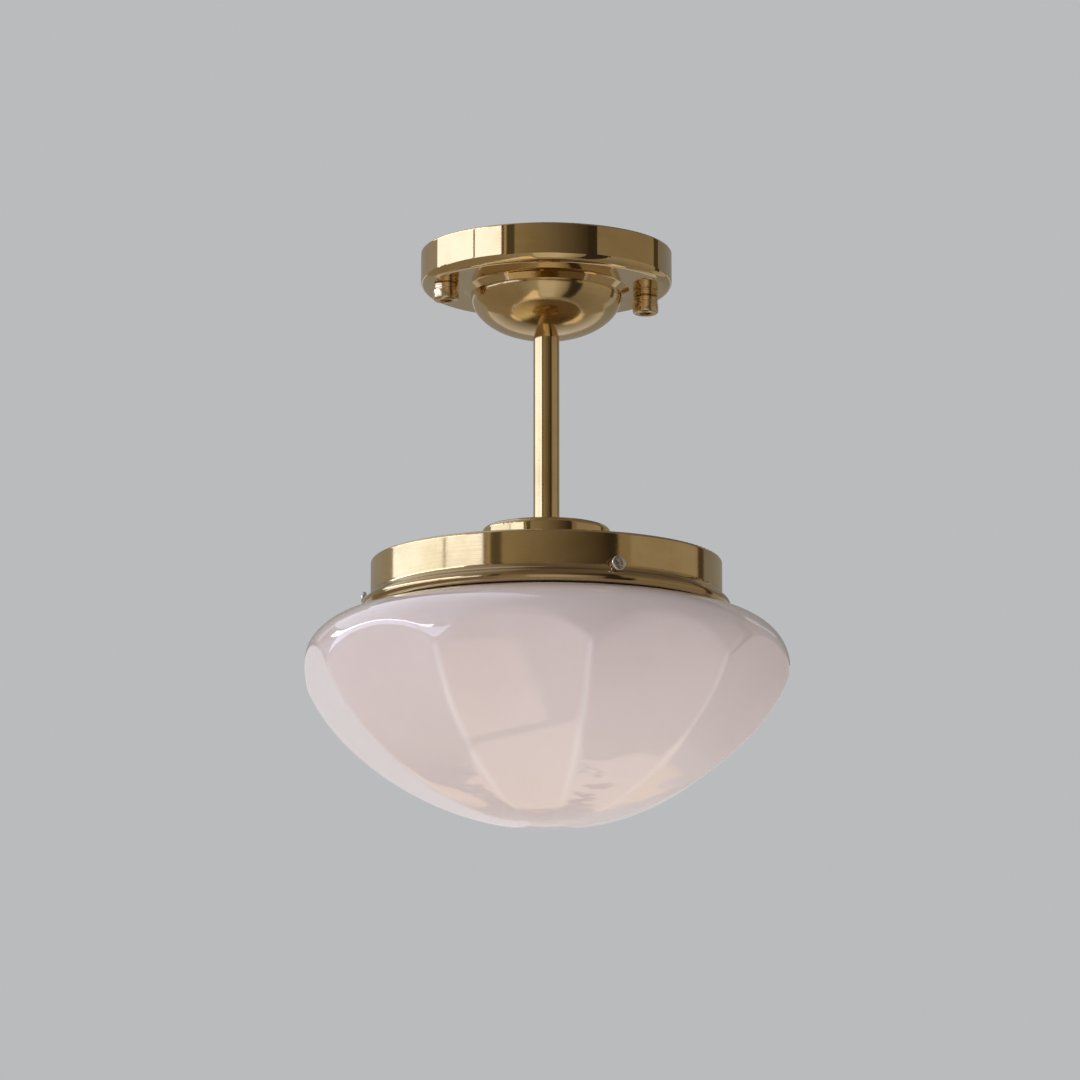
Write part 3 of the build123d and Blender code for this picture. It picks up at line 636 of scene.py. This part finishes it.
def thread_rows(radius, depth, pitch, low, high, around, centre=(0, 0), rounded=False):
    """Rows of a screw thread between two heights."""
    angles = circle(around)
    heights = np.linspace(low, high, int((high - low) / pitch * rows_per_turn) + 1)
    return [ring(thread_reach(z, low, high, angles, radius, depth, pitch, rounded), z, angles, centre)
            for z in heights]


def rolled_rows(radius, depth, low, high):
    """Rows of a rolled thread of the bulb's cap or the lampholder's shell."""
    return thread_rows(radius, depth, rolled_pitch, low, high, cap_points, rounded=True)


def hexagon(across_flats, angles):
    """Reach of a hexagon at each angle."""
    return across_flats / 2 / np.cos(angles % (pi / 3) - pi / 6)


def nut_rows(across_flats, thread_radius, low, high, centre=(0, 0)):
    """Rows of a hexagon nut with its corners chamfered and its hole countersunk."""
    angles = circle(nut_points)
    flats = hexagon(across_flats, angles)
    face = across_flats / 2 * 0.96
    rise = (across_flats / 2 / cos(pi / 6) - face) * tan(pi / 6)
    steps = np.linspace(0, rise, 5)
    heights = np.concatenate([low + steps, high - steps[::-1]])
    limits = np.concatenate([steps, steps[::-1]]) / tan(pi / 6) + face
    rows = [ring(np.minimum(flats, limit), z, angles, centre) for z, limit in zip(heights, limits)]
    bore = thread_radius + thread_clearance
    sink = 0.12 * bore
    hole = [(bore + sink, high), (bore, high - sink), (bore, low + sink), (bore + sink, low)]
    return rows + turned_rows(hole, nut_points, centre)


def stud_rows(low, high, centre):
    """Rows of a threaded stud, closed at both ends."""
    bottom = turned_rows([(closing_radius, low)], stud_points, centre)
    thread = thread_rows(screw_radius, screw_depth, screw_pitch, low, high, stud_points, centre)
    top = turned_rows([(closing_radius, high)], stud_points, centre)
    return bottom + thread + top


def tube_rows(low, high):
    """Rows of a threaded tube with its bore chamfered."""
    mouth = tube_bore + 0.2
    bore = [(mouth, high), (tube_bore, high - tube_chamfer), (tube_bore, low + tube_chamfer), (mouth, low)]
    thread = thread_rows(tube_radius, tube_depth, tube_pitch, low, high, tube_points)
    return thread + turned_rows(bore, tube_points)


stud_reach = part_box("bracket_studs")[1].x / mm - screw_radius
stud_places = [(-stud_reach, 0), (stud_reach, 0)]
low, high = span("bracket_studs")
skin("threaded_studs", [stud_rows(low, high, place) for place in stud_places],
     zinc, "root", "bracket_studs", "zinc_steel")
low, high = span("stud_locknuts")
skin("stud_hex_nuts", [nut_rows(stud_nut_across, screw_radius, low, high, place) for place in stud_places],
     zinc, "root", "stud_locknuts", "zinc_steel")
for end in ("top", "bottom"):
    low, high = span(f"{end}_locknut")
    skin(f"{end}_hex_nut", [nut_rows(tube_nut_across, tube_radius, low, high)],
         zinc, "root", f"{end}_locknut", "zinc_steel")
    low, high = span(f"{end}_nipple")
    skin(f"{end}_threaded_tube", [tube_rows(low, high)], zinc, "root", f"{end}_nipple", "zinc_steel")
low, high = span("bulb_cap")
cap_inside = turned_rows([(cap_radius - cap_wall, high), (cap_radius - cap_wall, low)], cap_points)
skin("bulb_screw_cap", [rolled_rows(cap_radius, cap_depth, low, high) + cap_inside],
     nickel, "bulb", "bulb_cap", "nickel_cap")
low, high = span("lampholder_shell")
shell_inside = rolled_rows(shell_radius - shell_wall, shell_inner_depth, low, high)[::-1]
skin("holder_screw_shell", [rolled_rows(shell_radius, shell_depth, low, high) + shell_inside],
     nickel, "root", "lampholder_shell", "nickel_cap")


# canopy nuts

nut_bore = 2.1
collar_radius = 5.9
collar_bevel = 0.55
collar_foot = 0.25
groove_place = 1.2
groove_depth = 0.12
nut_radius = 6.15
nut_neck_radius = 5.6
socket_across = 5.6
socket_depth = 2.2


def canopy_nut(side, x):
    """The round nut on a stud of the canopy, and its collar: edges broken, a groove, a hexagon socket."""
    centre, angles = (x, 0), circle(nut_points)
    low, high = span(f"nut_collar_{side}")
    groove_z = high - groove_place
    collar = [(nut_bore, high), (collar_radius - collar_bevel, high), (collar_radius, high - collar_bevel),
              (collar_radius, groove_z), (collar_radius - groove_depth, groove_z - groove_depth),
              (collar_radius, groove_z - 2 * groove_depth), (collar_radius, low + collar_foot),
              (collar_radius - collar_foot, low), (nut_bore, low)]
    skin(f"nut_ring_{side}", [turned_rows(collar, nut_points, centre)],
         turned, f"collar_{side}", f"nut_collar_{side}", "turned_brass", crease=24.0)
    low, high = span(f"canopy_nut_{side}")
    neck_z = high - 0.6
    body = [(nut_bore, high), (nut_neck_radius, high), (nut_neck_radius, neck_z), (nut_radius - 0.2, neck_z),
            (nut_radius - 0.05, neck_z - 0.06), (nut_radius, neck_z - 0.2), (nut_radius, low + 1.25),
            (nut_radius - 0.05, low + 1.0), (5.9, low + 0.7), (5.3, low + 0.16), (5.0, low + 0.02),
            (4.8, low), (4.2, low), (4.05, low + 0.06), (3.95, low + 0.22)]
    floor_of_socket = low + socket_depth
    sides = ((socket_across + 0.3, low + 0.22), (socket_across, low + 0.42), (socket_across, floor_of_socket))
    socket = [ring(hexagon(across, angles), z, angles, centre) for across, z in sides]
    hole = turned_rows([(nut_bore, floor_of_socket)], nut_points, centre)
    skin(f"socket_nut_{side}", [turned_rows(body, nut_points, centre) + socket + hole],
         turned, f"nut_{side}", f"canopy_nut_{side}", "turned_brass", crease=24.0)


canopy_nut("left", -stud_reach)
canopy_nut("right", stud_reach)


# side screws

head_radius = 3.5
head_wall = 0.95
head_flat_radius = 2.6
head_round = 0.9
head_crown = 0.15
recess_depth = 1.5
recess_reach = 2.25
recess_half_width = 0.86
recess_slope = 0.8
recess_wall = 0.30
head_seat = 86.6
shank_start = 75.5
shank_end = head_seat - 0.5
screw_z = span("side_screw_1")[1] - head_radius
screw_count = 3
first_screw_angle = 6.7
recess_turns = {1: 28.0, 2: 63.0, 3: 12.0}


def recess(x, y):
    """How deep the cross recess is at points of a screw's head."""
    depth = np.zeros(len(x))
    for run, side in ((x, y), (y, x)):
        sunk = recess_depth * np.clip((recess_reach - np.abs(run)) / recess_slope, 0, 1)
        depth = np.maximum(depth, sunk * np.clip((recess_half_width - np.abs(side)) / recess_wall, 0, 1))
    return depth


def side_screw(number):
    """A pan-headed screw lying along a radius of the fitter, with a threaded shank and a cross recess."""
    angles = circle(screw_points)
    loops = [(closing_radius, shank_start)]
    for place in np.linspace(shank_start, shank_end, shank_rows):
        reach = thread_reach(place, shank_start, shank_end, angles, screw_radius, screw_depth, screw_pitch)
        loops.append((reach, place))
    for reach, height in ((screw_radius, 0.0), (head_radius - 0.2, 0.0), (head_radius - 0.05, 0.08),
                          (head_radius, 0.25), (head_radius, head_wall)):
        loops.append((reach, head_seat + height))
    cross_angles = angles - radians(recess_turns[number])
    rounding = head_radius - head_round * (1 - np.cos(np.linspace(0.15, 1.35, round_rows)))
    for reach in np.concatenate([rounding, np.linspace(head_flat_radius + 0.02, 0.02, face_rows)]):
        edge = max(reach - head_flat_radius, 0) / head_round
        domed = 1 - (min(reach, head_flat_radius) / head_flat_radius) ** 2
        height = head_wall + head_round * sqrt(max(1 - edge * edge, 0)) + head_crown * domed
        depth = recess(reach * np.cos(cross_angles), reach * np.sin(cross_angles))
        loops.append((reach, head_seat + height - depth))
    screw_angle = first_screw_angle + 360 / screw_count * (number - 1)
    along, across = outward(screw_angle), outward(screw_angle + 90)
    rows = []
    for reach, place in loops:
        sideways = reach * np.cos(angles)
        rows.append(np.stack([place * along.x + sideways * across.x, place * along.y + sideways * across.y,
                              screw_z + reach * np.sin(angles)], axis=1))
    skin(f"cross_screw_{number}", [rows],
         bright_steel, f"screw_{number}", f"side_screw_{number}", "bright_steel", crease=32.0)


for number in range(1, screw_count + 1):
    side_screw(number)


# skirt of the lampholder

skirt_radius = 19.5
skirt_bore = 14.5
skirt_seat_radius = 16.4
skirt_seat_depth = 9.8
rib_count = 36
rib_depth = 0.9


def skirt_rows():
    """Rows of the lampholder's skirt, with a rounded foot and grip ribs round its upper half."""
    low, high = span("lampholder_skirt")
    angles = circle(8 * rib_count)
    ribs = np.clip(1.6 * np.cos(rib_count * angles), -1, 1) * 0.5 - 0.5
    foot = [(skirt_radius - 0.9, low, 0), (skirt_radius - 0.3, low + 0.25, 0), (skirt_radius, low + 1.0, 0)]
    grip = [(skirt_radius, low + 8.0, 0), (skirt_radius, low + 9.0, 0),
            (skirt_radius - 0.1, low + 9.3, rib_depth), (skirt_radius - 0.1, high - 4.3, rib_depth),
            (skirt_radius, high - 4.0, 0)]
    top = [(skirt_radius, high - 0.6, 0), (skirt_radius - 0.4, high, 0), (skirt_seat_radius, high, 0)]
    bore = [(skirt_seat_radius, high - skirt_seat_depth, 0), (skirt_bore, high - skirt_seat_depth, 0),
            (skirt_bore, low + 0.6, 0), (skirt_bore + 0.6, low, 0)]
    return [ring(radius + depth * ribs, z, angles) for radius, z, depth in foot + grip + top + bore]


skin("ribbed_skirt", [skirt_rows()],
     black_plastic, "root", "lampholder_skirt", "black_plastic", crease=50.0)


# floor, light and camera, in metres


def sheet(name, rows, finish, shares=None):
    """A flat or curved sheet of the stage, from rows of corners, each with its share of the second colour."""
    faces = faces_between(len(rows), len(rows[0]), close_columns=False)
    piece = new_piece(name, [tuple(point) for row in rows for point in row], faces, finish)
    if shares:
        keep_values(piece, "share", shares)
    return piece


def flat_sheet(name, edge, height, finish):
    """A level square sheet of the stage, with its edge given from the lamp's axis."""
    return sheet(name, [[(x, y, height) for x in (-edge, edge)] for y in (-edge, edge)], finish)


floor_edge = 9
floor_z = -2.6
floor_finish = Finish("stage_floor", Roughness=0.9).paint(Base_Color=rgb(0.80, 0.79, 0.78))
floor = flat_sheet("stage_floor", floor_edge, floor_z, floor_finish)
floor.visible_glossy = False


def only_mirrored(piece):
    """Let a sheet of the stage be seen only in polished surfaces, and throw no shadow."""
    piece.visible_camera = False
    piece.visible_diffuse = False
    piece.visible_transmission = False
    piece.visible_shadow = False


def glow(name, first, second):
    """A glowing finish whose colour turns from one into another across its sheet."""
    finish = Finish(name)
    share = finish.node("Attribute", {"attribute_name": "share"}, output=2)
    colour = finish.mix(share, rgb(*first), rgb(*second))
    return finish.show(finish.node("Emission", None, {0: colour, 1: 1.0}))


cards_middle = Vector((0, 0, -0.1))
card_step = 2


def card_angles(limits):
    """Angles from one limit to the other, about a card's step apart."""
    return np.linspace(*limits, max(2, int(abs(limits[1] - limits[0]) / card_step)))


def card(name, turns, rises, distance, first, second=None, upright=False):
    """A studio card bent round the lamp, seen only in polished surfaces.

    Turns run rightwards from the camera and rises run up from level, both in degrees. The colour turns from
    the first to the second from left to right, or from the bottom up."""
    across, upward = card_angles(turns), card_angles(rises)
    rows, shares = [], []
    for rise, height_share in zip(upward, np.linspace(0, 1, len(upward))):
        level, up = cos(radians(rise)), Vector((0, 0, sin(radians(rise))))
        directions = [outward(camera_angle + turn) * level + up for turn in across]
        rows.append([cards_middle + direction * distance for direction in directions])
        row_shares = np.full(len(across), height_share) if upright else np.linspace(0, 1, len(across))
        shares += row_shares.tolist()
    only_mirrored(sheet(name, rows, glow(name, first, second or first), shares))


room_tone = (0.26, 0.205, 0.14)
shadow_tone = (0.035, 0.026, 0.018)
window_tone = (1.50, 1.62, 2.05)
table_tone = (0.58, 0.52, 0.43)
ceiling_tone = (0.17, 0.145, 0.125)
card("card_room", (-142, 142), (-88, 80), 4.4, room_tone)
card("card_back", (124, 241), (8.5, 17), 4.3, (0.21, 0.20, 0.195), (0.34, 0.31, 0.28))
card("card_under", (138, 222), (-88, -50), 4.3, (0.15, 0.115, 0.08))
card("card_low", (138, 222), (-50, -16), 4.3, (0.13, 0.10, 0.07), (0.76, 0.72, 0.71), upright=True)
card("card_left", (-178, -138), (-24, 8), 4.2, (0.78, 0.74, 0.75), (0.58, 0.55, 0.55))
card("card_right", (120, 178), (-27, 6), 4.2, (0.35, 0.31, 0.26), (0.64, 0.60, 0.59))
card("card_window_far", (-119, -70.2), (6, 20), 4.0, window_tone)
card("card_window_near", (-68.4, -41.5), (6, 20), 4.0, window_tone)
card("card_frame", (-41.5, -38.8), (2, 42), 4.0, (0.15, 0.085, 0.055))
card("card_reveal", (-38.8, -36.6), (2, 42), 4.0, (0.45, 0.36, 0.22))
card("card_curtain", (-36.6, -29), (2, 42), 4.0, (0.085, 0.07, 0.042))
card("card_wall", (-29, 38), (2, 60), 4.2, (0.29, 0.23, 0.15), (0.05, 0.036, 0.023))
card("card_corner", (36, 56), (-56, 2), 4.1, shadow_tone)
card("card_post", (38, 47), (2, 60), 4.0, shadow_tone)
card("card_side", (56, 116), (-72, 14), 4.0, (0.18, 0.145, 0.105), (0.34, 0.29, 0.22), upright=True)
card("card_door", (116, 124), (-8, 50), 3.9, (0.07, 0.047, 0.024))
card("card_table_left", (-46, -12), (-64, 3), 4.0, (0.25, 0.205, 0.15), (0.38, 0.33, 0.26))
card("card_table", (-12, 12), (-60, 3), 4.0, table_tone)
card("card_table_right", (12, 36), (-60, 2), 4.0, table_tone, (0.22, 0.18, 0.13))
card("card_ceiling", (-20, 150), (32, 89), 3.9, ceiling_tone)
card("card_ceiling_back", (150, 204), (20, 89), 3.9, (0.10, 0.08, 0.065))
card("card_ceiling_left", (-156, -20), (27, 89), 3.9, (0.95, 0.98, 1.10), ceiling_tone)
card("card_near", (126, 236), (-10, 22), 0.25, (0.24, 0.225, 0.20), (0.31, 0.29, 0.265))
card("card_strip", (-130, -56), (20, 25), 3.6, (4.6, 4.7, 5.0))


patches_edge = 0.8
patches_z = -0.45

# A dark gap slants across the table. The pools lie beyond it, and the runner ends before it.
gap_slant = 1.3
gap_near = -0.152
gap_far = -0.142

# middle and half width of each lit pool, to the camera's right and away from it
lit_pools = [((-0.035, 0.03), (0.12, 0.16)), ((0.155, 0.20), (0.10, 0.19)), ((-0.165, 0.235), (0.07, 0.08))]


def lit_patches():
    """Warm lit patches with ragged edges on a table under the lamp, seen only in polished surfaces."""
    finish = Finish("card_patches")
    x, y, z = finish.place()
    back, side = outward(camera_angle + 180), outward(camera_angle + 90)
    away, aside = x * back.x + y * back.y, x * side.x + y * side.y
    slant = away + aside * gap_slant
    ragged = finish.noise(x * 52.0, y * 52.0, z, detail=6.0, rough=0.68) - 0.5
    fine = finish.noise(x * 90.0, y * 22.0, z, detail=6.0, rough=0.65) - 0.5
    depths = []
    for (aside_at, away_at), (half_aside, half_away) in lit_pools:
        u, v = (aside - aside_at) / half_aside, (away - away_at) / half_away
        depths.append(1.0 - (u * u + v * v) ** 0.5)
    deepest = finish.sum("MAXIMUM", finish.sum("MAXIMUM", *depths[:2]), depths[2])
    pools = finish.spread(deepest + ragged * 1.3, 0.0, 0.03) * finish.spread(slant - gap_far, 0.0, 0.012)
    runner = finish.spread(away * 0.27 + 0.001 - aside + fine * 0.03, 0.0, 0.003)
    near_end = finish.spread(away + 0.56 + ragged * 0.12, 0.0, 0.02)
    far_end = finish.spread(gap_near - slant, 0.0, 0.012) * finish.spread(away, -0.03, -0.05)
    left_end = finish.spread(aside, -0.24, -0.22)
    lit = finish.sum("MAXIMUM", pools, runner * near_end * far_end * left_end)
    clear = finish.node("BsdfTransparent")
    light = finish.node("Emission", None, {0: rgb(0.88, 0.69, 0.51), 1: 1.0})
    patches = finish.show(finish.node("MixShader", None, {0: lit, 1: clear, 2: light}))
    only_mirrored(flat_sheet("card_patches", patches_edge, patches_z, patches))


lit_patches()


lamps_aim = Vector((0, 0, -0.16))


def lamp(name, turn, height, distance, size, power, colour):
    """A soft rectangular studio lamp aimed at the middle of the ceiling light."""
    light = bpy.data.lights.new(name, "AREA")
    light.shape = "RECTANGLE"
    light.size, light.size_y = size
    light.energy = power
    light.color = colour
    piece = bpy.data.objects.new(name, light)
    piece.location = outward(camera_angle + turn) * distance + Vector((0, 0, height))
    piece.rotation_euler = (lamps_aim - piece.location).to_track_quat("-Z", "Y").to_euler()
    scene.collection.objects.link(piece)
    piece.visible_camera = False
    piece.visible_glossy = False


lamp("key", turn=-75, height=0.45, distance=1.9, size=(1.0, 0.9), power=19.2, colour=(0.92, 0.965, 1.04))
lamp("fill", turn=42, height=-0.96, distance=1.15, size=(1.0, 0.8), power=3.0, colour=(1.0, 0.975, 0.965))
lamp("bounce", turn=-30, height=-0.97, distance=0.3, size=(0.8, 0.8), power=2.6, colour=(1.0, 0.965, 0.94))

scene.world = bpy.data.worlds.new("studio")
studio = Finish("studio", owner=scene.world)
studio.tree.nodes.clear()
camera_ray, glossy_ray, transmission_ray = (studio.node("LightPath", output=k) for k in (0, 3, 6))
plain = studio.node("Background", None, {0: rgb(0.491, 0.497, 0.509), 1: 1.0})
soft = studio.node("Background", None, {0: rgb(1.0, 0.99, 0.985), 1: 0.51})
seen = camera_ray + glossy_ray + transmission_ray
backdrop = studio.node("MixShader", None, {0: seen, 1: soft, 2: plain})
studio.feed(studio.tree.nodes.new("ShaderNodeOutputWorld").inputs[0], backdrop)

camera_distance = 2.4
camera_aside = -0.00305
camera_z = -0.607
camera_pitch = radians(11.01)
camera_data = bpy.data.cameras.new("camera")
camera_data.sensor_width = 36.0
camera_data.lens = 171.87
camera = bpy.data.objects.new("camera", camera_data)
camera.location = (outward(camera_angle) * camera_distance + outward(camera_angle + 90) * camera_aside
                   + Vector((0, 0, camera_z)))
aim = -outward(camera_angle) * cos(camera_pitch) + Vector((0, 0, sin(camera_pitch)))
camera.rotation_euler = aim.to_track_quat("-Z", "Y").to_euler()
scene.collection.objects.link(camera)
scene.camera = camera
scene.view_settings.view_transform = "Standard"
